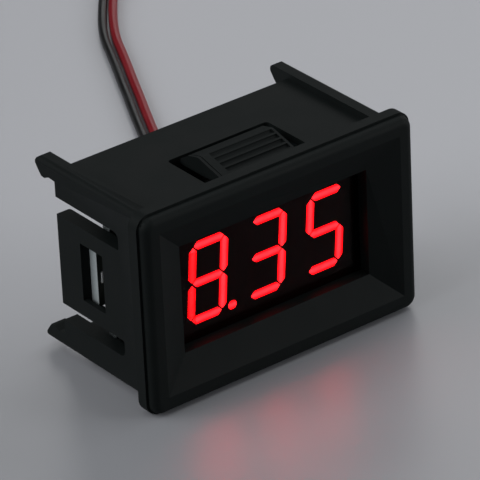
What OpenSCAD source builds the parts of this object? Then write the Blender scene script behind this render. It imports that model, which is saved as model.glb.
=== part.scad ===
// Snap-in digital panel voltmeter: a one-piece moulded housing with a bezel,
// flexing side tabs and ribbed panel latches, a tinted window, a three-digit
// light-emitting display, the circuit board that drives it and two leads.
// The front faces -Y, X runs to the right seen from the front, Z is up.

/* [Bezel] */
// Width of the bezel across the panel
bezel_w = 48; // [47.2:0.1:54]
// Height of the bezel
bezel_h = 31.4; // [31:0.1:36]
// Thickness of the bezel in front of the panel
bezel_t = 3.3; // [2.9:0.1:3.8]
// Radius of the rounded front edge, which ends in a fine step all round
bezel_round = 1.2; // [0.8:0.1:1.4]
// How far the front of the bezel is set in from its rear flange
bezel_step = 0.35; // [0.2:0.05:0.5]
// Radius of the bezel's four corners
bezel_corner = 2.2; // [2:0.1:3]
// Width of the border from the bezel's edge to where the face slopes in
rim_w = 2.8; // [2.2:0.1:3.4]
// Depth of the sloping frame round the window
slope_depth = 2.1; // [1.2:0.1:2.4]
// Width of the window opening
window_w = 33; // [31.5:0.1:34]
// Height of the window opening
window_h = 16.8; // [15.6:0.1:17.6]
// Depth from the front to the back of the window opening
window_depth = 4; // [3.8:0.1:4.4]

/* [Body] */
// Outer width of the body behind the bezel
body_w = 44.1; // [44:0.1:46]
// Outer height of the body over its edge rails
body_h = 29.2; // [29:0.1:30.4]
// Thickness of the side walls, and width of the edge rails above them
side_wall = 2.3; // [2.1:0.1:2.5]
// Thickness of the top and bottom walls between the rails
flat_wall = 1.1; // [0.9:0.1:1.4]
// Height of the edge rails above the flat walls
rail_rise = 1; // [0.6:0.1:1.1]
// Radius of the body's long corners
rail_round = 0.9; // [0.3:0.1:1]
// Depth from the front to the rear edge of the side walls
side_depth = 23.1; // [22.9:0.1:26]
// How far the flat walls reach behind the side walls
flat_extra = 0.6; // [0.2:0.1:1.2]

/* [Corner hooks] */
// How far each corner hook reaches behind the side wall
hook_reach = 4.5; // [4:0.1:5.4]

/* [Side tabs] */
// Height of each flexing side tab
tab_h = 14.3; // [13:0.1:14.8]
// Height of the slot above and below a tab
tab_slot = 2.7; // [2.2:0.1:2.9]
// Depth from the front to the closed end of the slots
tab_root = 8.6; // [7.4:0.1:10]
// Height of the opening in each tab
tab_window_h = 9.1; // [7:0.1:9.6]
// Depth from the front to the front edge of the opening in each tab
tab_window_y = 12.7; // [12:0.1:13.6]

/* [Panel latches] */
// Width of the opening round each latch
latch_gap_w = 17.7; // [16.6:0.1:18]
// Depth from the front to the front end of the latch opening
latch_front = 5; // [4.6:0.1:5.4]
// Depth from the front to the rear end of the latch opening
latch_rear = 15.2; // [14.8:0.1:16]
// Width of the latch
latch_w = 13.3; // [12:0.1:14]
// Height of the latch's crest above the flat wall
latch_crest = 1.4; // [1:0.1:1.5]
// Number of grip grooves across the latch
latch_grooves = 4; // [3:1:4]
// Sideways place of both latches, to the right of the middle
latch_x = 0.5; // [-1:0.1:1]

/* [Display] */
// Distance from one digit's centre to the next
digit_pitch = 10.4; // [9.8:0.1:10.6]
// Width of a digit between the middles of its upright strokes
digit_w = 5.5; // [5:0.1:6]
// Height of a digit between the middles of its top and bottom strokes
digit_h = 11.5; // [10.6:0.1:12]
// Width of every stroke
stroke = 1.35; // [1:0.05:1.5]
// Lean of the digits in degrees
digit_lean = 5; // [0:0.5:8]
// Radius of a decimal point
point_r = 0.7; // [0.5:0.05:0.75]
// Depth of the display module
display_t = 8; // [7:0.1:8.4]
// Thickness of the tinted window sheet
tint_t = 0.6; // [0.4:0.1:0.7]

/* [Circuit board] */
// Depth from the front to the board's front face
board_y = 16.3; // [15.9:0.1:16.4]
// Thickness of the board
board_t = 1.6; // [1.2:0.1:1.6]
// Width of the board between its two side lugs
board_w = 36; // [35.6:0.1:37]
// Width of the board across its side lugs
lug_span = 41.1; // [40.6:0.1:41.4]
// Height of each side lug
lug_h = 11; // [9.6:0.1:11]
// Height of the board
board_h = 23.8; // [23:0.1:24.2]
// Spacing of the display pins along a row
pin_pitch = 2.54; // [2:0.01:2.54]
// Distance between the two rows of display pins
pin_rows = 15.24; // [14:0.01:15.24]

/* [Leads] */
// Diameter over the insulation of each lead
lead_d = 1.5; // [1.3:0.1:1.6]
// Sideways place of the red lead's solder joint
lead_x = 13; // [12.8:0.1:13.2]
// Diameter of the stored coils across the middle of the turns
coil_d = 16; // [15.8:0.1:16.4]

/* [Hidden] */
round_n = 48;
small_n = 24;
eps = 0.02;
depth = side_depth + hook_reach;
wall_z = body_h / 2 - rail_rise;
cavity_h = 2 * (wall_z - flat_wall);
cavity_w = body_w - 2 * side_wall;
rail_w = side_wall;
slope_w = bezel_w - 2 * rim_w;
slope_h = bezel_h - 2 * rim_w;
groove_w = 0.25;
plate_t = 1.2;
plate_y = window_depth + plate_t;
tint_w = window_w + 2;
tint_h = window_h + 2.4;
seat_gap = 0.1;
display_y = window_depth + tint_t;
display_w = tint_w - 2 * seat_gap;
display_h = tint_h - 2 * seat_gap;
display_back = display_y + display_t;
display_x = 0.3;
cell_depth = 2.4;
cell_gap = 0.17;
resin_t = 1.2;
resin_edge = 0.8;
board_back = board_y + board_t;
pocket_x = body_w / 2 - 0.85;
pocket_h = lug_h + 0.4;
tab_chamfer = 0.3;
rib_w = 1.2;
rib_h = 1.5;
rib_x = 15;
latch_crest_y = 10.8;
latch_nose_y = latch_front + 1;
latch_rim = 0.45;
pins_per_row = 6;
pin_r = 0.25;
hole_r = 0.45;
pin_tail = 1.4;
joint_h = 0.8;
pad_r = 0.85;
edge_pad_x = -19.7;
edge_pad_z = -1.05;
chip_l = 9.9;
chip_w = 3.9;
chip_t = 1.5;
chip_lift = 0.1;
chip_x = -2;
chip_pitch = 1.27;
chip_legs = 8;
leg_w = 0.4;
leg_t = 0.2;
regulator_x = 13.5;
regulator_z = 5.8;
diode_x = -14.6;
diode_z = -7;
diode_l = 4.2;
trimmer_x = -14.5;
trimmer_z = 4.2;
trimmer_w = 4;
trimmer_t = 1.5;
well_y = 0.5;
rotor_r = 1.35;
rotor_gap = 0.05;
rotor_slot = 0.5;
lead_z = -3;
core_r = 0.35;
core_out = 1.6;
core_in = 0.6;
lead_step = 1.75;
lead_back = 0.6;
coil_band = 3.6;
floor_z = bezel_h / 2;

// Places of the small surface-mounted pieces on the board, and their sizes
resistor_places = [[-11.5, 9.8], [-6, 10.3], [0, 10.3], [6, 10.3], [6.5, -4.6], [-8.6, -4.6], [0, -10.4], [-6, -10.4]];
resistor_size = [1, 0.8, 0.5];
capacitor_places = [[10, -10.2], [10.6, 1.8], [-10, 0.4], [7.2, 4.8]];
capacitor_size = [1.1, 1.25, 1];

// Middle line of each lead, from its solder joint to its coil: X, depth from
// the front, and height above the surface that the meter stands on.
red_route = [
    [13, 19.5, 12.7], [13, 23, 12.6], [13.2, 26.5, 12], [13.6, 30, 10.6], [14.2, 33.5, 8.4],
    [15, 37, 5.8], [16, 40.5, 3.4], [17.2, 44, 1.6], [18.6, 47.8, 0.8], [20.2, 52, 0.8],
    [22, 56.5, 0.8], [24, 61, 0.8], [26.2, 65.5, 0.8], [28.4, 70, 0.8], [30.8, 74.8, 0.8],
    [33.2, 79.5, 0.8], [35.6, 84.3, 0.8], [38, 89, 0.8], [40.4, 93.8, 0.8], [42.8, 98.6, 0.8],
    [45.5, 103, 0.8], [48.5, 107.3, 0.8], [51.6, 111.4, 1], [54.6, 115.6, 1.6],
    [57.4, 120, 2.25], [60, 124.5, 2.25]
];
black_route = [
    [11.2, 20.1, 12.7], [11.2, 23.6, 12.6], [11.4, 27.1, 12], [11.8, 30.6, 10.6],
    [12.4, 34.1, 8.4], [13.2, 37.6, 5.8], [14.2, 41.1, 3.4], [15.4, 44.6, 1.6],
    [16.8, 48.4, 0.8], [18.4, 52.6, 0.8], [20.2, 57.1, 0.8], [22.2, 61.6, 0.8],
    [24.4, 66.1, 0.8], [26.6, 70.6, 0.8], [29, 75.4, 0.8], [31.4, 80.1, 0.8],
    [33.8, 84.9, 0.8], [36.2, 89.6, 0.8], [38.6, 94.4, 0.8], [41, 99.2, 0.8],
    [43.7, 103.6, 0.8], [46.8, 107.9, 0.8], [50, 112, 0.8], [53.2, 116.1, 0.8],
    [57.2, 120, 0.8], [60, 124.5, 0.8]
];
coil_centre = [67.79, 120];

// Moves a piece from depths behind the front face to the part's own frame
module placed() {
    translate([0, -depth / 2, floor_z]) children();
}

// Turns a flat outline so that its height is Z and its thickness runs to +Y
module upright(y, t) {
    translate([0, y + t, 0]) rotate([90, 0, 0]) linear_extrude(t) children();
}

// Turns an outline in depth and height so that its thickness runs along X
module across(x, w) {
    translate([x, 0, 0]) rotate([90, 0, 90]) linear_extrude(w) children();
}

// A block centred on X and Z that starts at a depth y
module block(w, t, h, x = 0, y = 0, z = 0) {
    translate([x - w / 2, y, z - h / 2]) cube([w, t, h]);
}

// A round rod along the depth
module rod(r, y, length) {
    translate([0, y + length, 0]) rotate([90, 0, 0]) cylinder(r = r, h = length, $fn = small_n);
}

// Repeats a piece as its own mirror image
module both(axis) {
    children();
    mirror(axis) children();
}

// ---------- housing ----------

// Half section of the bezel's edge, radius outward and depth upward: a rounded
// front, a fine groove behind it, then the flange that covers the panel
module edge_profile() {
    front = bezel_corner - bezel_step;
    flange = bezel_round + groove_w;
    translate([0, flange]) square([bezel_corner, bezel_t - flange]);
    square([front - bezel_round, flange]);
    translate([0, bezel_round]) square([front - groove_w, groove_w + eps]);
    intersection() {
        translate([front - bezel_round, bezel_round]) circle(bezel_round, $fn = round_n);
        square([front, bezel_round]);
    }
}

module bezel_side(length) {
    translate([0, 0, -length / 2]) linear_extrude(length) edge_profile();
}

module bezel_solid() {
    span_x = bezel_w - 2 * bezel_corner;
    span_z = bezel_h - 2 * bezel_corner;
    block(span_x, bezel_t, span_z);
    both([1, 0, 0]) translate([span_x / 2, 0, 0]) bezel_side(span_z);
    both([0, 0, 1]) translate([0, 0, span_z / 2]) rotate([0, -90, 0]) bezel_side(span_x);
    both([1, 0, 0]) both([0, 0, 1]) translate([span_x / 2, 0, span_z / 2])
        rotate([-90, 0, 0]) rotate_extrude($fn = round_n) edge_profile();
}

// Outline of a cut that narrows from the front face to the window
module slope_outline(front, back) {
    polygon([[-front / 2, -eps], [front / 2, -eps], [back / 2, slope_depth], [-back / 2, slope_depth]]);
}

module slope_cut() {
    intersection() {
        translate([0, 0, -bezel_h]) linear_extrude(2 * bezel_h) slope_outline(slope_w, window_w);
        rotate([0, 90, 0]) translate([0, 0, -bezel_w]) linear_extrude(2 * bezel_w) slope_outline(slope_h, window_h);
    }
}

// Cross-section of the body: rounded corners with a flat sunk between the rails
module body_section() {
    w = body_w / 2 - rail_round;
    h = body_h / 2 - rail_round;
    difference() {
        union() {
            square([2 * w, body_h], center = true);
            square([body_w, 2 * h], center = true);
            for (x = [-w, w], z = [-h, h]) translate([x, z]) circle(rail_round, $fn = round_n);
        }
        for (s = [-1, 1]) translate([0, s * (wall_z + body_h / 2)])
            square([body_w - 2 * rail_w, body_h], center = true);
    }
}

// Side view of the body's rear corner: side wall's end, then the hook behind it
module hook_profile() {
    top = body_h / 2;
    low = top - 2.4;
    tip = depth - 0.05;
    polygon([
        [bezel_t - 1, 0], [side_depth, 0], [side_depth, low], [side_depth + 1.4, low + 0.1],
        [side_depth + 2.5, low - 0.4], [side_depth + 3.2, low - 0.3], [side_depth + 3.8, low + 0.4],
        [tip, low + 1.3], [depth, low + 1.7], [tip - 0.1, top - 0.3], [tip - 0.5, top],
        [bezel_t - 1, top]
    ]);
}

// The body's walls, still solid inside, with the four hooks at the rear
module body_solid() {
    intersection() {
        upright(bezel_t - 1, depth) body_section();
        union() {
            both([1, 0, 0]) both([0, 0, 1]) across(cavity_w / 2, side_wall) hook_profile();
            block(cavity_w, side_depth + flat_extra, body_h);
        }
    }
}

// Opening in a flat wall round its latch, with rounded rear corners
module latch_gap() {
    r = 0.6;
    x = latch_gap_w / 2;
    translate([latch_x, 0, -body_h]) linear_extrude(2 * body_h) {
        translate([-x, latch_front]) square([2 * x, latch_rear - latch_front - r]);
        translate([r - x, latch_front]) square([2 * (x - r), latch_rear - latch_front]);
        for (e = [-1, 1]) translate([e * (x - r), latch_rear - r]) circle(r, $fn = small_n);
    }
}

// One panel latch in profile: an arm rooted low behind its opening, a lead-in
// ramp, the crest, and a long grip slope down to the free nose
module latch_profile(lower = 0) {
    low = wall_z - flat_wall;
    arm = 0.55;
    crest = wall_z + latch_crest - lower;
    polygon([
        [latch_rear + arm, low], [latch_rear + arm, low + arm], [latch_rear - 0.5, low + arm],
        [latch_rear - 0.6, low + arm + 0.3], [latch_crest_y + 2.4, crest - 0.55],
        [latch_crest_y + 0.3, crest], [latch_crest_y - 0.1, crest],
        [latch_nose_y, crest - 1.2], [latch_nose_y, low + 0.4], [latch_nose_y + 3.8, low]
    ]);
}

// Round grooves along the grip slope
module latch_groove_profile() {
    r = 0.45;
    start = latch_crest_y - 0.4;
    pitch = (start - latch_nose_y - 0.85) / (latch_grooves - 1);
    fall = 1.2 / (latch_crest_y - 0.1 - latch_nose_y);
    for (i = [0 : latch_grooves - 1])
        translate([start - i * pitch, wall_z + latch_crest + 0.1 - (0.3 + i * pitch) * fall]) circle(r, $fn = small_n);
}

// The latch's pad: a fine rim along one edge, grooves across most of its width
module latch() {
    left = latch_x - latch_w / 2;
    line = 0.15;
    smooth_l = 1.9;
    smooth_r = 0.4;
    difference() {
        union() {
            across(left, latch_w) latch_profile(0.12);
            across(left, latch_rim) latch_profile();
            across(left + latch_rim + line, latch_w - latch_rim - line) latch_profile();
        }
        across(left + smooth_l, latch_w - smooth_l - smooth_r) latch_groove_profile();
    }
}

// Outline of the two slots that free a side tab, seen from the side: the closed
// end is rounded more on the side away from the tab
module tab_slots() {
    far_r = 1;
    near_r = 0.4;
    near = tab_h / 2;
    far = near + tab_slot;
    long = side_depth - tab_root;
    both([0, 1, 0]) {
        translate([tab_root + far_r, near]) square([long, tab_slot]);
        translate([tab_root + near_r, near]) square([long, near_r]);
        translate([tab_root, near + near_r]) square([long, tab_slot - near_r - far_r]);
        translate([tab_root + near_r, near + near_r]) circle(near_r, $fn = small_n);
        translate([tab_root + far_r, far - far_r]) circle(far_r, $fn = round_n);
    }
}

// Opening in the middle of a side tab, up to the catch that holds the board
module tab_window() {
    translate([tab_window_y, -tab_window_h / 2]) square([board_back - tab_window_y, tab_window_h]);
}

// Space cut into a side tab: a pocket that takes the board's lug in front of
// the catch, and a small chamfer that leads the lug over the catch
module tab_pocket() {
    inner = cavity_w / 2 - eps;
    block(pocket_x - inner, board_back - tab_window_y, pocket_h, (pocket_x + inner) / 2, tab_window_y, 0);
    translate([0, 0, -tab_h / 2]) linear_extrude(tab_h) polygon([
        [inner, side_depth - tab_chamfer], [inner + tab_chamfer, side_depth + eps], [inner, side_depth + eps]
    ]);
}

// Ribs inside the flat walls that the board's front face rests on
module board_ribs() {
    root = 0.3;
    z = (cavity_h - rib_h + root) / 2;
    both([1, 0, 0]) both([0, 0, 1])
        block(rib_w, board_y - plate_y + root, rib_h + root, rib_x, plate_y - root, z);
}

// The housing is one moulding: bezel, body, hooks, tabs, latches and ribs
module housing() {
    color("#1b1c1e") placed() {
        difference() {
            union() {
                bezel_solid();
                body_solid();
            }
            slope_cut();
            block(window_w, 2 * plate_y, window_h);
            block(tint_w + 2 * seat_gap, plate_y, tint_h + 2 * seat_gap, 0, window_depth, 0);
            block(cavity_w, depth, cavity_h, 0, plate_y, 0);
            latch_gap();
            across(-body_w, 2 * body_w) tab_slots();
            across(-body_w, 2 * body_w) tab_window();
            both([1, 0, 0]) tab_pocket();
        }
        both([0, 0, 1]) latch();
        board_ribs();
    }
}

// ---------- window and display ----------

module tinted_window() {
    color("#5a0a0c") placed() block(tint_w, tint_t, tint_h, 0, window_depth, 0);
}

// Outline of one bar between two points of a digit, pointed at both ends
module bar(a, b) {
    d = (b - a) / norm(b - a);
    n = [-d[1], d[0]] * stroke / 2;
    p = a + d * cell_gap;
    q = b - d * cell_gap;
    e = d * stroke / 2;
    polygon([p, p + e + n, q - e + n, q, q - e - n, p + e - n]);
}

// A digit's corner at column -1 or 1 and row -1, 0 or 1, with the digit's lean
function corner(c, r) = [c * digit_w / 2 + r * digit_h / 2 * tan(digit_lean), r * digit_h / 2];

// The bars a to g of a digit, each from one corner to another
bar_ends = [
    [corner(-1, 1), corner(1, 1)], [corner(1, 1), corner(1, 0)], [corner(1, 0), corner(1, -1)],
    [corner(-1, -1), corner(1, -1)], [corner(-1, 0), corner(-1, -1)],
    [corner(-1, 1), corner(-1, 0)], [corner(-1, 0), corner(1, 0)]
];

// The chosen bars of the digit at one of the three places
module digit_bars(place, bars) {
    translate([display_x + (place - 1) * digit_pitch, 0]) for (i = bars) bar(bar_ends[i][0], bar_ends[i][1]);
}

module point_outline(place) {
    x = digit_w / 2 + 1.25;
    translate([display_x + (place - 1) * digit_pitch + x, -digit_h / 2]) circle(point_r, $fn = round_n);
}

// Every light cell of the display: all bars and points
module all_cells() {
    for (place = [0 : 2]) {
        digit_bars(place, [0 : 6]);
        point_outline(place);
    }
}

module display_shell() {
    color("#26272a") placed() difference() {
        block(display_w, display_t - resin_t, display_h, 0, display_y, 0);
        upright(display_y - 1, cell_depth + 1) all_cells();
    }
}

// Cast resin that closes the back of the display shell
module display_resin() {
    color("#d8d5c8") placed() difference() {
        block(display_w - 2 * resin_edge, resin_t, display_h - 2 * resin_edge, 0, display_back - resin_t, 0);
        at_pins() rod(pin_r, display_back - resin_t, resin_t);
    }
}

module digit_one_lit() {
    color("#ff2a3c") placed() upright(display_y, cell_depth) digit_bars(0, [0 : 6]);
}

module digit_two_lit() {
    color("#ff2a3c") placed() upright(display_y, cell_depth) digit_bars(1, [0, 1, 2, 3, 6]);
}

module digit_three_lit() {
    color("#ff2a3c") placed() upright(display_y, cell_depth) digit_bars(2, [0, 2, 3, 5, 6]);
}

module decimal_point_lit() {
    color("#ff2a3c") placed() upright(display_y, cell_depth) point_outline(0);
}

module unlit_segments() {
    color("#3a1a1c") placed() upright(display_y, cell_depth) {
        digit_bars(1, [4, 5]);
        digit_bars(2, [1, 4]);
        point_outline(1);
        point_outline(2);
    }
}

// Repeats a piece at each display pin
module at_pins() {
    for (i = [0 : pins_per_row - 1], s = [-1, 1])
        translate([display_x + (i - (pins_per_row - 1) / 2) * pin_pitch, 0, s * pin_rows / 2]) children();
}

module display_pins() {
    start = display_back - resin_t;
    color("#c9c9c4") placed() at_pins() rod(pin_r, start, board_back + pin_tail - start);
}

// A soldered joint: it fills its hole and climbs the pin on the rear face
module solder_joint(pin) {
    rotate([-90, 0, 0]) rotate_extrude($fn = small_n)
        polygon([
            [pin, board_y], [hole_r, board_y], [hole_r, board_back], [pad_r, board_back],
            [pad_r - 0.15, board_back + 0.15], [pin + 0.12, board_back + joint_h], [pin, board_back + joint_h]
        ]);
}

module display_solder() {
    color("#b9bbbd") placed() at_pins() solder_joint(pin_r);
}

// ---------- circuit board ----------

// Repeats a piece at the two lead joints
module at_leads() {
    for (i = [0, 1]) translate([lead_x - i * lead_step, 0, lead_z]) children();
}

module circuit_board() {
    color("#1c3f42") placed() difference() {
        union() {
            block(board_w, board_t, board_h, 0, board_y, 0);
            block(lug_span, board_t, lug_h, 0, board_y, 0);
        }
        at_pins() rod(hole_r, board_y - 1, board_t + 2);
        at_leads() rod(hole_r, board_y - 1, board_t + 2);
    }
}

// Small tinned pad on the front face of the board's left lug
module edge_pad() {
    t = 0.15;
    color("#c9c9c4") placed() block(0.4, t, 1.6, edge_pad_x, board_y - t, edge_pad_z);
}

// A block that stands on the board's rear face
module on_board(w, h, t, x, z, lift = 0) {
    block(w, t, h, x, board_back + lift, z);
}

module controller_chip() {
    color("#232427") placed() on_board(chip_l, chip_w, chip_t, chip_x, 0, chip_lift);
}

// One gull-wing leg in profile: height above the board against reach
module leg_profile() {
    reach = chip_w / 2;
    top = chip_lift + (chip_t + leg_t) / 2;
    polygon([
        [reach, top - leg_t], [reach + 0.3, top - leg_t], [reach + 0.45, 0], [reach + 1.05, 0],
        [reach + 1.05, leg_t], [reach + 0.6, leg_t], [reach + 0.45, top], [reach, top]
    ]);
}

module controller_legs() {
    color("#c2c4c6") placed() for (i = [0 : chip_legs - 1])
        translate([chip_x + (i - (chip_legs - 1) / 2) * chip_pitch - leg_w / 2, board_back, 0])
            both([0, 0, 1]) rotate([90, 0, 90]) mirror([1, -1, 0]) linear_extrude(leg_w) leg_profile();
}

module regulator_body() {
    color("#232427") placed() on_board(4.5, 2.5, 1.5, regulator_x, regulator_z);
}

module regulator_tabs() {
    color("#c2c4c6") placed() {
        for (i = [-1 : 1]) on_board(0.5, 0.9, 0.4, regulator_x + i * 1.5, regulator_z - 1.7);
        on_board(1.7, 0.8, 0.4, regulator_x, regulator_z + 1.65);
    }
}

module diode_body() {
    color("#232427") placed() on_board(diode_l, 2.6, 2, diode_x, diode_z);
}

module diode_ends() {
    color("#c2c4c6") placed() both_ends(diode_x, diode_z, diode_l, 0.5, 1.4, 0.9);
}

// Two metal ends, one at each side of a surface-mounted body
module both_ends(x, z, length, end_l, w, t) {
    for (s = [-1, 1]) on_board(end_l, w, t, x + s * (length + end_l) / 2, z);
}

module resistor_bodies() {
    color("#1c1d20") placed() for (p = resistor_places)
        on_board(resistor_size[0], resistor_size[1], resistor_size[2], p[0], p[1]);
}

module resistor_ends() {
    color("#c2c4c6") placed() for (p = resistor_places)
        both_ends(p[0], p[1], resistor_size[0], 0.3, resistor_size[1], resistor_size[2]);
}

module capacitor_bodies() {
    color("#a08a6a") placed() for (p = capacitor_places)
        on_board(capacitor_size[0], capacitor_size[1], capacitor_size[2], p[0], p[1]);
}

module capacitor_ends() {
    color("#c2c4c6") placed() for (p = capacitor_places)
        both_ends(p[0], p[1], capacitor_size[0], 0.4, capacitor_size[1], capacitor_size[2]);
}

// Calibration trimmer: a square base with a round well, and its slotted rotor
module trimmer_body() {
    color("#e8e6df") placed() difference() {
        on_board(trimmer_w, trimmer_w, trimmer_t, trimmer_x, trimmer_z);
        translate([trimmer_x, 0, trimmer_z]) rod(rotor_r + rotor_gap, board_back + well_y, trimmer_t);
    }
}

module trimmer_rotor() {
    rotor_y = board_back + well_y + rotor_gap;
    rotor_t = trimmer_t - well_y + 0.2 - rotor_gap;
    long = 2 * rotor_r + 1;
    slot_y = rotor_y + rotor_t - 0.4;
    color("#c9a44a") placed() difference() {
        translate([trimmer_x, 0, trimmer_z]) rod(rotor_r, rotor_y, rotor_t);
        block(long, rotor_slot, rotor_slot, trimmer_x, slot_y, trimmer_z);
        block(rotor_slot, rotor_slot, long, trimmer_x, slot_y, trimmer_z);
    }
}

// ---------- leads ----------

module lead_cores() {
    color("#c9c9c4") placed() for (i = [0, 1]) translate([lead_x - i * lead_step, 0, lead_z])
        rod(core_r, board_y - core_in, core_in + board_t + core_out + i * lead_back);
}

module lead_solder() {
    color("#b9bbbd") placed() at_leads() solder_joint(core_r);
}

// Rings of points round a path, then the skin that joins them
ring_n = 8;
ring_angles = [for (k = [0 : ring_n - 1]) (k + 0.5) * 360 / ring_n];
function heading(path, i) = path[min(i + 1, len(path) - 1)] - path[max(i - 1, 0)];
function unit(v) = v / norm(v);
function ring(path, i) = let (
    d = unit(heading(path, i)), u = unit(cross(d, [0, 0, 1])), v = cross(u, d)
) [for (a = ring_angles) path[i] + lead_d / 2 * (cos(a) * u + sin(a) * v)];

module tube(path) {
    n = len(path);
    skin = [
        for (i = [0 : n - 2], k = [0 : ring_n - 1]) let (a = i * ring_n, b = a + ring_n, m = (k + 1) % ring_n)
            [a + k, b + k, b + m, a + m]
    ];
    start = [for (k = [0 : ring_n - 1]) k];
    end = [for (k = [ring_n - 1 : -1 : 0]) (n - 1) * ring_n + k];
    polyhedron([for (i = [0 : n - 1]) each ring(path, i)], concat(skin, [start, end]));
}

module red_lead() {
    color("#c8141c") placed() translate([0, 0, -floor_z]) tube(red_route);
}

module black_lead() {
    color("#17181a") placed() translate([0, 0, -floor_z]) tube(black_route);
}

// The outer shape of a flat coil that lies at a height h
module coil(h) {
    translate([coil_centre[0], coil_centre[1], h - floor_z]) rotate_extrude($fn = round_n)
        translate([(coil_d - coil_band) / 2, 0]) square([coil_band, lead_d]);
}

module red_lead_coil() {
    color("#c8141c") placed() coil(lead_d);
}

module black_lead_coil() {
    color("#17181a") placed() coil(0);
}

housing();
tinted_window();
display_shell();
display_resin();
digit_one_lit();
digit_two_lit();
digit_three_lit();
decimal_point_lit();
unlit_segments();
display_pins();
display_solder();
circuit_board();
edge_pad();
controller_chip();
controller_legs();
regulator_body();
regulator_tabs();
diode_body();
diode_ends();
resistor_bodies();
resistor_ends();
capacitor_bodies();
capacitor_ends();
trimmer_body();
trimmer_rotor();
lead_cores();
lead_solder();
red_lead();
black_lead();
red_lead_coil();
black_lead_coil();
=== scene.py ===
"""Looks of a snap-in digital panel meter: finishes for its solids, the fine
lines of its moulded housing, its two leads, and a small studio round it. The
front faces -Y and Z is up."""

import math
import bpy
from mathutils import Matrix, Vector


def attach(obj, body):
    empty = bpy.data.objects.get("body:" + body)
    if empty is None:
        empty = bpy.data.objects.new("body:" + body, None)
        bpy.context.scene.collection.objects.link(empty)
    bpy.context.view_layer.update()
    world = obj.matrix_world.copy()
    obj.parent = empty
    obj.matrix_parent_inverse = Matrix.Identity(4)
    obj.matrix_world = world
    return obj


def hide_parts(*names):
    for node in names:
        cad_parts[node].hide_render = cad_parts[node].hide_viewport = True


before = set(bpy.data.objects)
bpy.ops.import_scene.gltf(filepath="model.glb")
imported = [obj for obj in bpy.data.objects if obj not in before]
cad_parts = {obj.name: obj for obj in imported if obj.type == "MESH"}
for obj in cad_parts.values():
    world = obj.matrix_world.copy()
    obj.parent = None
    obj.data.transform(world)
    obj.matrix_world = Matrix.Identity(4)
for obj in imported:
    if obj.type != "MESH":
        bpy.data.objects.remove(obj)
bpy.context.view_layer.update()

bl_info = {
    "name": "Digital Panel Meter",
    "version": (1, 0, 0),
    "blender": (4, 5, 0),
    "location": "View3D > Sidebar > Panel Meter",
    "description": "Finishes, leads and studio for a snap-in digital panel meter",
    "category": "Object",
}

MM = 0.001
DEPTH = 27.6                 # whole depth of the meter, mm
BEZEL_W = 48.0               # over the bezel, mm
BEZEL_H = 31.4               # height of the bezel, mm
BEZEL_CORNER = 2.2           # radius of the bezel's corners, mm
GROOVE_FLOOR = 0.6           # from the bezel's outline in to the groove's floor, mm
GROOVE_Y = (1.1, 1.55)       # depths behind the front between which the groove's floor lies, mm
WALL_Z = 13.6                # outer face of the top wall above the middle, mm
LATCH_X = 0.5                # middle of a latch from the meter's middle, mm
LATCH_W = 13.3               # width of a latch, mm
LATCH_END = (14.55, 14.75)   # depths between which a latch's rear end lies, mm
LATCH_ROOT = 1.2             # how far below the wall's face a latch's rear end reaches, mm
NEAR = 0.06                  # how close to a line a point is counted as on it, mm
DISPLAY_X = 0.3              # middle of the display from the meter's middle, mm
DISPLAY_HEIGHT = 15.7        # middle of the digits above the floor, mm
DIGIT_PITCH = 10.4           # from digit to digit, mm
DIGIT_W = 5.5                # between the middles of a digit's upright bars, mm
DIGIT_H = 11.5               # between the middles of its top and bottom bars, mm
DIGIT_SLANT = 5              # lean of the digits, degrees
STROKE = 1.35                # width of a bar, mm
LEAD_LENGTH = 200.0          # each lead from its solder joint to its end, mm
COIL_STEPS = 18              # points for each turn of a coil
SEAM_ANGLE = 13              # edges sharper than this stay crisp on the housing, degrees
FLOOR_SHADE_SPAN = 60              # how far either side of the middle the painted shade on the floor, darker towards the front, runs, mm
FLOOR_INWARD = (0.616, 0.788, 0)     # the way from the front of the floor to its back
CAMERA_PLACE = (-0.32535, -0.44138, 0.31569)     # metres
CAMERA_TURN = (61.161, 2.454, -37.964)           # degrees
LENS_LENGTH = 331.9          # mm, on a sensor 36 mm wide
# each softbox: its place and size in metres, and its power in watts
SOFTBOXES = {
    "overhead_softbox": ((0, 0, 0.9), 0.9, 2.5),
    "left_softbox": ((-0.75, 0.15, 0.5), 0.7, 5.0),
    "right_softbox": ((0.75, 0.1, 0.5), 0.7, 2.8),
    "front_softbox": ((0.65, -0.6, 0.25), 0.5, 3.7),
    "back_left_softbox": ((-0.5, 0.6, 0.5), 0.5, 1.5),
    "back_right_softbox": ((0.6, 0.65, 0.5), 0.5, 0.7),
}


# ---------------------------------------------------------------- helpers

def linear(code):
    """Linear RGBA of an sRGB hex colour."""
    parts = [int(code[i:i + 2], 16) / 255 for i in (1, 3, 5)]
    return [c / 12.92 if c <= 0.04045 else ((c + 0.055) / 1.055) ** 2.4 for c in parts] + [1.0]


def add_node(material, kind, inputs=None, **settings):
    """Adds one shader node, sets its values and links its inputs."""
    node = material.node_tree.nodes.new(kind)
    for name, value in settings.items():
        setattr(node, name, value)
    for name, value in (inputs or {}).items():
        if isinstance(value, bpy.types.NodeSocket):
            material.node_tree.links.new(value, node.inputs[name])
        else:
            node.inputs[name].default_value = value
    return node


def new_material(name):
    """An empty node material with its output, and the output node."""
    material = bpy.data.materials.new(name)
    material.use_nodes = True
    material.node_tree.nodes.clear()
    return material, add_node(material, "ShaderNodeOutputMaterial")


def surface(material, output, **inputs):
    """A Principled shader wired to the output. Names use _ for a space."""
    shader = add_node(material, "ShaderNodeBsdfPrincipled",
                      {name.replace("_", " "): value for name, value in inputs.items()})
    material.node_tree.links.new(shader.outputs["BSDF"], output.inputs["Surface"])
    return shader


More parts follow.
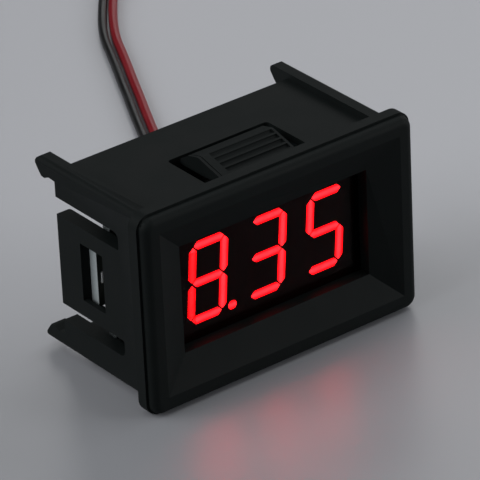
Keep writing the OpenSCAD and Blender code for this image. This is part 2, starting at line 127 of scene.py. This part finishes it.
def grain(material, size_mm, detail=2.0):
    """Noise on Object coordinates whose grains are size_mm across."""
    place = add_node(material, "ShaderNodeTexCoord").outputs["Object"]
    return add_node(material, "ShaderNodeTexNoise",
                    {"Vector": place, "Scale": 1 / (size_mm * MM), "Detail": detail, "Roughness": 0.5})


def spread(material, value, low, high, start=0.3, end=0.7, shape="LINEAR"):
    """Runs from low to high as a value goes from start to end. Without these,
    the value is a grain, which seldom leaves 0.3 to 0.7."""
    return add_node(material, "ShaderNodeMapRange",
                    {"Value": value, "From Min": start, "From Max": end, "To Min": low, "To Max": high},
                    interpolation_type=shape).outputs["Result"]


def tones(material, factor, dark, light):
    """Blends two colours by a factor, each a hex value or a socket."""
    ends = [tone if isinstance(tone, bpy.types.NodeSocket) else linear(tone) for tone in (dark, light)]
    return add_node(material, "ShaderNodeMix", {"Factor": factor, 6: ends[0], 7: ends[1]},
                    data_type="RGBA").outputs[2]


def relief(material, height, depth_mm, strength=1.0):
    """A bump of a height field that is depth_mm deep."""
    return add_node(material, "ShaderNodeBump",
                    {"Height": height, "Distance": depth_mm * MM, "Strength": strength}).outputs["Normal"]


def sum_up(material, operation, *values):
    """One step of arithmetic on sockets and plain numbers."""
    return add_node(material, "ShaderNodeMath", dict(enumerate(values)), operation=operation).outputs["Value"]


def facing(material):
    """How far a face looks along Y: -1 on a front, 1 on a back, 0 on an edge."""
    normal = add_node(material, "ShaderNodeNewGeometry").outputs["True Normal"]
    return add_node(material, "ShaderNodeSeparateXYZ", {"Vector": normal}).outputs["Y"]


def dress(names, material):
    """Gives one material to CAD nodes."""
    for name in names:
        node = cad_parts[name]
        node.data.materials.clear()
        node.data.materials.append(material)


def pick_points(piece, wanted):
    """In edit mode, selects only the points whose x, depth and height, in mm
    from the middle of the bezel's front, are wanted."""
    bpy.ops.mesh.select_all(action="DESELECT")
    bpy.ops.object.mode_set(mode="OBJECT")
    for point in piece.data.vertices:
        x, y, z = point.co / MM
        point.select = bool(wanted(x, y + DEPTH / 2, z - BEZEL_H / 2))
    bpy.ops.object.mode_set(mode="EDIT")


# -------------------------------------------------------------- finishes

def moulded_abs():
    """Black ABS from a spark-eroded mould: satin, with a fine sandy grain."""
    material, output = new_material("moulded_abs")
    fine = grain(material, 0.22, 3.0)
    broad = grain(material, 6.0)
    surface(material, output,
            Base_Color=tones(material, broad.outputs["Fac"], bpy.context.scene.panel_meter.abs_dark, "#161A1A"),
            Roughness=spread(material, broad.outputs["Fac"], 0.50, 0.60),
            IOR=1.5, Specular_IOR_Level=0.055,
            Normal=relief(material, fine.outputs["Fac"], 0.012, 0.5))
    return material


def dyed_acrylic():
    """Dark red cast acrylic sheet, polished: it passes little but red light, and less at a slant."""
    material, output = new_material("dyed_acrylic")
    clear = add_node(material, "ShaderNodeBsdfTransparent", {"Color": linear("#D8383F")}).outputs["BSDF"]
    gloss = add_node(material, "ShaderNodeBsdfPrincipled",
                     {"Base Color": linear("#050303"), "Roughness": 0.2, "IOR": 1.49,
                      "Specular IOR Level": 0.15}).outputs["BSDF"]
    slant = add_node(material, "ShaderNodeLayerWeight", {"Blend": 0.5}).outputs["Facing"]
    share = spread(material, slant, 0.35, 1.0, 0.45, 0.75)
    mix = add_node(material, "ShaderNodeMixShader", {"Fac": share, 1: clear, 2: gloss})
    material.node_tree.links.new(mix.outputs["Shader"], output.inputs["Surface"])
    return material


def plain_finish(name, dark, light, roughness, size_mm=0.3):
    """An even finish of one material: faint grain and slight tone changes."""
    material, output = new_material(name)
    fine = grain(material, size_mm, 2.0)
    surface(material, output,
            Base_Color=tones(material, fine.outputs["Fac"], dark, light),
            Roughness=roughness, IOR=1.5,
            Normal=relief(material, fine.outputs["Fac"], 0.006, 0.4))
    return material


def masked_laminate():
    """Glass-fibre laminate: a dark teal solder mask on both faces, bare edges."""
    material, output = new_material("masked_laminate")
    weave = grain(material, 0.4, 2.0)
    masked = sum_up(material, "GREATER_THAN", sum_up(material, "ABSOLUTE", facing(material)), 0.5)
    bare = tones(material, weave.outputs["Fac"], "#8E979A", "#A4ACAE")
    mask = tones(material, weave.outputs["Fac"], "#06171A", "#091D20")
    surface(material, output, Base_Color=tones(material, masked, bare, mask), Roughness=0.35, IOR=1.5,
            Normal=relief(material, weave.outputs["Fac"], 0.006, 0.4))
    return material


def tinned_metal(name, dark, light, roughness):
    """Bright plated metal: slightly wavy from the dip."""
    material, output = new_material(name)
    wave = grain(material, 0.5, 1.0)
    surface(material, output,
            Base_Color=tones(material, wave.outputs["Fac"], dark, light),
            Metallic=1.0, Roughness=roughness,
            Normal=relief(material, wave.outputs["Fac"], 0.02, 0.5))
    return material


def lit_cell():
    """Milky epoxy light cell over a lit die: palest along the middle of each bar, dim at its edge."""
    material, output = new_material("lit_epoxy_cell")
    place = add_node(material, "ShaderNodeSeparateXYZ", {
        "Vector": add_node(material, "ShaderNodeTexCoord").outputs["Object"]}).outputs
    up = sum_up(material, "SUBTRACT", place["Z"], DISPLAY_HEIGHT * MM)
    lean = sum_up(material, "MULTIPLY", up, math.tan(math.radians(DIGIT_SLANT)))
    along = sum_up(material, "SUBTRACT", sum_up(material, "SUBTRACT", place["X"], lean), DISPLAY_X * MM)
    from_axis = sum_up(material, "ABSOLUTE",
                       sum_up(material, "WRAP", along, DIGIT_PITCH * MM / 2, -DIGIT_PITCH * MM / 2))
    from_middle = sum_up(material, "ABSOLUTE", up)
    upright = sum_up(material, "ABSOLUTE", sum_up(material, "SUBTRACT", from_axis, DIGIT_W * MM / 2))
    level = sum_up(material, "ABSOLUTE", sum_up(material, "SUBTRACT", from_middle, DIGIT_H * MM / 2))
    off = sum_up(material, "MINIMUM", upright, sum_up(material, "MINIMUM", level, from_middle))
    width = STROKE * MM
    core = spread(material, off, 1.0, 0.0, 0.1 * width, 0.42 * width, "SMOOTHSTEP")
    power = spread(material, off, bpy.context.scene.panel_meter.glow, 1.6, 0.43 * width, 0.5 * width)
    front = sum_up(material, "LESS_THAN", facing(material), -0.5)
    surface(material, output,
            Base_Color=linear("#3A080C"), Roughness=0.4, IOR=1.5,
            Emission_Color=tones(material, core, "#FF2536", "#FF6B70"),
            Emission_Strength=sum_up(material, "MULTIPLY", power, front))
    return material


def vinyl(name, dark, light):
    """Extruded soft vinyl insulation: smooth, with a dull gloss."""
    material, output = new_material(name)
    broad = grain(material, 3.0)
    surface(material, output,
            Base_Color=tones(material, broad.outputs["Fac"], dark, light),
            Roughness=spread(material, broad.outputs["Fac"], 0.32, 0.45), IOR=1.53)
    return material


def bare_floor():
    """Satin painted board: pale grey, with painted shade that makes it a little darker towards the front, in
    place of the light falling off there; a soft sheen.
    """
    material, output = new_material("satin_board_painted_shade")
    place = add_node(material, "ShaderNodeTexCoord").outputs["Object"]
    inward = add_node(material, "ShaderNodeVectorMath", {0: place, 1: FLOOR_INWARD},
                      operation="DOT_PRODUCT").outputs["Value"]
    # painted shade: a darker grey at the front blending to the floor's colour at the back, standing in for the
    # light's falloff
    painted_falloff = spread(material, inward, 0.0, 1.0, -FLOOR_SHADE_SPAN * MM, FLOOR_SHADE_SPAN * MM, "SMOOTHSTEP")
    surface(material, output,
            Base_Color=tones(material, painted_falloff, "#888A8F", bpy.context.scene.panel_meter.floor_hex),
            Roughness=0.36, IOR=1.95)
    return material


# -------------------------------------------------------------- settings

class PanelMeterSettings(bpy.types.PropertyGroup):
    abs_dark: bpy.props.StringProperty(
        name="Housing colour", description="Darker tone of the housing, sRGB hex", default="#101313")
    floor_hex: bpy.props.StringProperty(
        name="Floor colour", description="Colour of the studio floor, sRGB hex", default="#A0A2A8")
    glow: bpy.props.FloatProperty(
        name="Display glow", description="Brightness of the lit segments", default=16.0, min=0.0, max=50.0)
    latch_reach: bpy.props.FloatProperty(
        name="Latch reach", description="How much nearer a latch's end comes to its opening's edge",
        default=0.3 * MM, min=0.0, max=0.4 * MM, precision=5, unit="LENGTH")
    groove_fill: bpy.props.FloatProperty(
        name="Groove fill", description="How much shallower the bezel's groove is made",
        default=0.2 * MM, min=0.0, max=0.25 * MM, precision=5, unit="LENGTH")
    lead_d: bpy.props.FloatProperty(
        name="Lead diameter", description="Diameter over the insulation",
        default=1.5 * MM, min=1.0 * MM, max=2.5 * MM, precision=5, unit="LENGTH")
    coil_turn: bpy.props.FloatProperty(
        name="Coil radius", description="Radius of a stored coil's outer turn",
        default=9.0 * MM, min=7.5 * MM, max=12.0 * MM, precision=5, unit="LENGTH")


# -------------------------------------------------------------- operators

class PANELMETER_OT_finishes(bpy.types.Operator):
    """Gives each solid of the meter its material; the unlit cells carry painted shade and the edge pad a
    painted glint
    """
    bl_idname = "panelmeter.finishes"
    bl_label = "Finish the Solids"

    def execute(self, context):
        dress(["tinted_window"], dyed_acrylic())
        dress(["digit_one_lit", "digit_two_lit", "digit_three_lit", "decimal_point_lit"], lit_cell())
        dress(["circuit_board"], masked_laminate())
        # dull black paint on the display's case, so that only lit bars stand out
        dress(["display_shell"], plain_finish("painted_display_face", "#101112", "#151618", 0.55))
        # cast epoxy: milky, with the slight shine of a poured face
        dress(["display_resin"], plain_finish("cast_epoxy", "#B9B49F", "#CFCBB9", 0.3))
        # the same epoxy, unlit, coloured nearly black and faintly red: painted shade standing in for the dark
        # sheet in front of it
        dress(["unlit_segments"], plain_finish("unlit_epoxy_cell_painted_shade", "#1A0A0C", "#200D10", 0.5))
        # a flat tinned pad coloured pale, dull and not metal: a painted glint that keeps it bright where it
        # lies in shade
        dress(["edge_pad"], plain_finish("tin_pad_painted_glint", "#E2E6EA", "#F0F2F4", 0.5))
        # epoxy moulded round a chip: charcoal, matt, with a gritty grain
        dress(["controller_chip", "regulator_body", "diode_body"],
              plain_finish("moulded_chip_epoxy", "#1B1C1E", "#26272A", 0.55, 0.08))
        # glazed resistor film: smooth black
        dress(["resistor_bodies"], plain_finish("resistor_glaze", "#141417", "#1C1C20", 0.35))
        # fired ceramic: brown, dry, finely grained
        dress(["capacitor_bodies"], plain_finish("fired_ceramic", "#8A6E4C", "#9B7E5A", 0.5, 0.1))
        # moulded nylon: off-white with a soft shine
        dress(["trimmer_body"], plain_finish("trimmer_nylon", "#D8D5CA", "#E4E1D7", 0.45))
        # tin and brass: bright, and a little wavy
        dress(["display_pins", "lead_cores"], tinned_metal("tinned_copper_wire", "#B8B7B0", "#D0CFC8", 0.28))
        dress(["display_solder", "lead_solder"], tinned_metal("tin_solder", "#B4B6B8", "#CDD0D2", 0.2))
        dress(["controller_legs", "regulator_tabs", "diode_ends", "resistor_ends", "capacitor_ends"],
              tinned_metal("plated_terminal", "#B8BABC", "#D2D4D6", 0.3))
        dress(["trimmer_rotor"], tinned_metal("plated_brass", "#B8904A", "#D2AC66", 0.3))
        return {"FINISHED"}


class PANELMETER_OT_housing(bpy.types.Operator):
    """Fits the moulded housing's fine groove and latch ends to how they look on the real one"""
    bl_idname = "panelmeter.housing"
    bl_label = "Finish the Housing"

    def execute(self, context):
        look = context.scene.panel_meter
        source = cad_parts["housing"]
        bpy.ops.object.select_all(action="DESELECT")
        shell = bpy.data.objects.new("moulded_housing", source.data.copy())
        context.scene.collection.objects.link(shell)
        context.view_layer.objects.active = shell
        shell.select_set(True)
        bpy.ops.object.mode_set(mode="EDIT")
        bpy.ops.mesh.select_all(action="SELECT")
        bpy.ops.mesh.remove_doubles(threshold=0.0005 * MM)
        # the parting groove behind the bezel's front is only a faint line
        inset_x, inset_z = BEZEL_W / 2 - GROOVE_FLOOR, BEZEL_H / 2 - GROOVE_FLOOR
        round_x, round_z = BEZEL_W / 2 - BEZEL_CORNER, BEZEL_H / 2 - BEZEL_CORNER

        def on_groove_floor(x, y, z):
            x, z = abs(x), abs(z)
            straight = abs(x - inset_x) < NEAR or abs(z - inset_z) < NEAR
            corner = x > inset_x - BEZEL_CORNER and z > inset_z - BEZEL_CORNER and math.hypot(
                x - round_x, z - round_z) < BEZEL_CORNER - GROOVE_FLOOR + NEAR
            return GROOVE_Y[0] < y < GROOVE_Y[1] and (straight or corner)

        pick_points(shell, on_groove_floor)
        fill = look.groove_fill / MM
        bpy.ops.transform.resize(value=((inset_x + fill) / inset_x, 1, (inset_z + fill) / inset_z),
                                 center_override=(0, 0, BEZEL_H / 2 * MM))
        # each latch's rear end comes close to the edge of its opening
        pick_points(shell, lambda x, y, z: LATCH_END[0] < y < LATCH_END[1]
                    and abs(x - LATCH_X) < LATCH_W / 2 + NEAR and abs(z) > WALL_Z - LATCH_ROOT)
        bpy.ops.transform.translate(value=(0, look.latch_reach, 0))
        bpy.ops.object.mode_set(mode="OBJECT")
        bpy.ops.object.shade_smooth_by_angle(angle=math.radians(SEAM_ANGLE))
        flat_walls = shell.modifiers.new("flat_walls", "WEIGHTED_NORMAL")
        flat_walls.keep_sharp = True
        flat_walls.weight = 100
        bpy.ops.object.modifier_apply(modifier=flat_walls.name)
        shell.data.materials.clear()
        shell.data.materials.append(moulded_abs())
        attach(shell, "meter")
        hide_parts("housing")
        return {"FINISHED"}


# Middle line of each lead from its solder joint: x, depth behind the front
# face and height above the floor, in millimetres.
RED_ROUTE = [
    (13, 19.5, 12.7), (13, 23, 12.6), (13.2, 26.5, 12), (13.6, 30, 10.6), (14.2, 33.5, 8.4),
    (15, 37, 5.8), (16, 40.5, 3.4), (17.2, 44, 1.6), (18.6, 47.8, 0.8), (20.2, 52, 0.8),
    (22, 56.5, 0.8), (24, 61, 0.8), (26.2, 65.5, 0.8), (28.4, 70, 0.8), (30.8, 74.8, 0.8),
    (33.2, 79.5, 0.8), (35.6, 84.3, 0.8), (38, 89, 0.8), (40.4, 93.8, 0.8), (42.8, 98.6, 0.8),
    (45.5, 103, 0.8), (48.5, 107.3, 0.8), (51.6, 111.4, 1), (54.6, 115.6, 1.6),
    (57.4, 120, 2.25), (60, 124.5, 2.25),
]
BLACK_ROUTE = [
    (11.2, 20.1, 12.7), (11.2, 23.6, 12.6), (11.4, 27.1, 12), (11.8, 30.6, 10.6),
    (12.4, 34.1, 8.4), (13.2, 37.6, 5.8), (14.2, 41.1, 3.4), (15.4, 44.6, 1.6),
    (16.8, 48.4, 0.8), (18.4, 52.6, 0.8), (20.2, 57.1, 0.8), (22.2, 61.6, 0.8),
    (24.4, 66.1, 0.8), (26.6, 70.6, 0.8), (29, 75.4, 0.8), (31.4, 80.1, 0.8),
    (33.8, 84.9, 0.8), (36.2, 89.6, 0.8), (38.6, 94.4, 0.8), (41, 99.2, 0.8),
    (43.7, 103.6, 0.8), (46.8, 107.9, 0.8), (50, 112, 0.8), (53.2, 116.1, 0.8),
    (57.4, 120, 0.8), (60, 124.5, 0.8),
]


def coiled(route, radius, lead_d):
    """The route's points carried on into its coil, in metres, to the lead's full length."""
    points = [Vector(p) for p in route]
    used = sum((b - a).length for a, b in zip(points, points[1:]))
    heading = (points[-1] - points[-2]).xy.normalized()
    side = Vector((heading.y, -heading.x, 0))
    centre = points[-1] + side * radius
    start = math.atan2(-side.y, -side.x)
    height = points[-1].z
    angle, step = 0.0, math.tau / COIL_STEPS
    while used < LEAD_LENGTH:
        angle += step
        r = radius - lead_d * angle / math.tau
        point = centre + r * Vector((math.cos(start - angle), math.sin(start - angle), 0))
        point.z = height
        used += (point - points[-1]).length
        points.append(point)
    return [Vector((p.x, p.y - DEPTH / 2, p.z)) * MM for p in points]


class PANELMETER_OT_leads(bpy.types.Operator):
    """Runs the red and the black lead from the board to their coils"""
    bl_idname = "panelmeter.leads"
    bl_label = "Run the Leads"

    def execute(self, context):
        look = context.scene.panel_meter
        finishes = {"red": vinyl("red_vinyl", "#6A0C17", "#78101B"),
                    "black": vinyl("black_vinyl", "#101011", "#161617")}
        for colour, route in (("red", RED_ROUTE), ("black", BLACK_ROUTE)):
            points = coiled(route, look.coil_turn / MM, look.lead_d / MM)
            curve = bpy.data.curves.new(colour + "_lead_skin", "CURVE")
            curve.dimensions = "3D"
            curve.bevel_depth = look.lead_d / 2
            curve.bevel_resolution = 5
            curve.resolution_u = 6
            curve.use_fill_caps = True
            spline = curve.splines.new("BEZIER")
            spline.bezier_points.add(len(points) - 1)
            for knot, point in zip(spline.bezier_points, points):
                knot.co = point
                knot.handle_left_type = knot.handle_right_type = "AUTO"
            skin = bpy.data.objects.new(colour + "_lead_skin", curve)
            context.scene.collection.objects.link(skin)
            curve.materials.append(finishes[colour])
            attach(skin, "meter")
            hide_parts(colour + "_lead", colour + "_lead_coil")
        return {"FINISHED"}


class PANELMETER_OT_stage(bpy.types.Operator):
    """Sets up the floor, the lamps, the camera and the view settings"""
    bl_idname = "panelmeter.stage"
    bl_label = "Set the Stage"

    def execute(self, context):
        bpy.ops.object.select_all(action="DESELECT")
        bpy.ops.mesh.primitive_plane_add(size=6)
        floor = context.object
        floor.name = "studio_floor"
        floor.data.materials.append(bare_floor())

        world = bpy.data.worlds.new("studio")
        world.use_nodes = True
        world.node_tree.nodes["Background"].inputs["Color"].default_value = linear("#D4D6DA")
        world.node_tree.nodes["Background"].inputs["Strength"].default_value = 0.03
        context.scene.world = world

        for name, (place, size, power) in SOFTBOXES.items():
            lamp = bpy.data.lights.new(name, "AREA")
            lamp.size = size
            lamp.energy = power
            stand = bpy.data.objects.new(name, lamp)
            stand.location = place
            stand.rotation_euler = (Vector((0, 0, 0)) - Vector(place)).to_track_quat("-Z", "Y").to_euler()
            context.scene.collection.objects.link(stand)

        lens = bpy.data.cameras.new("camera")
        lens.lens = LENS_LENGTH
        lens.sensor_width = 36
        lens.clip_start = 0.01
        camera = bpy.data.objects.new("camera", lens)
        camera.location = CAMERA_PLACE
        camera.rotation_euler = [math.radians(angle) for angle in CAMERA_TURN]
        context.scene.collection.objects.link(camera)
        context.scene.camera = camera
        context.scene.view_settings.view_transform = "Standard"
        return {"FINISHED"}


class PANELMETER_PT_sidebar(bpy.types.Panel):
    """Sizes, colours and building steps of the panel meter"""
    bl_label = "Panel Meter"
    bl_idname = "PANELMETER_PT_sidebar"
    bl_space_type = "VIEW_3D"
    bl_region_type = "UI"
    bl_category = "Panel Meter"

    def draw(self, context):
        look = context.scene.panel_meter
        for name in PanelMeterSettings.__annotations__:
            self.layout.prop(look, name)
        for step in STEPS:
            self.layout.operator(step.bl_idname)


STEPS = (PANELMETER_OT_finishes, PANELMETER_OT_housing, PANELMETER_OT_leads, PANELMETER_OT_stage)
CLASSES = (PanelMeterSettings, *STEPS, PANELMETER_PT_sidebar)


def register():
    for each in CLASSES:
        bpy.utils.register_class(each)
    bpy.types.Scene.panel_meter = bpy.props.PointerProperty(type=PanelMeterSettings)


def unregister():
    del bpy.types.Scene.panel_meter
    for each in reversed(CLASSES):
        bpy.utils.unregister_class(each)


def main():
    register()
    for step in STEPS:
        group, name = step.bl_idname.split(".")
        getattr(getattr(bpy.ops, group), name)()


if __name__ == "__main__":
    main()
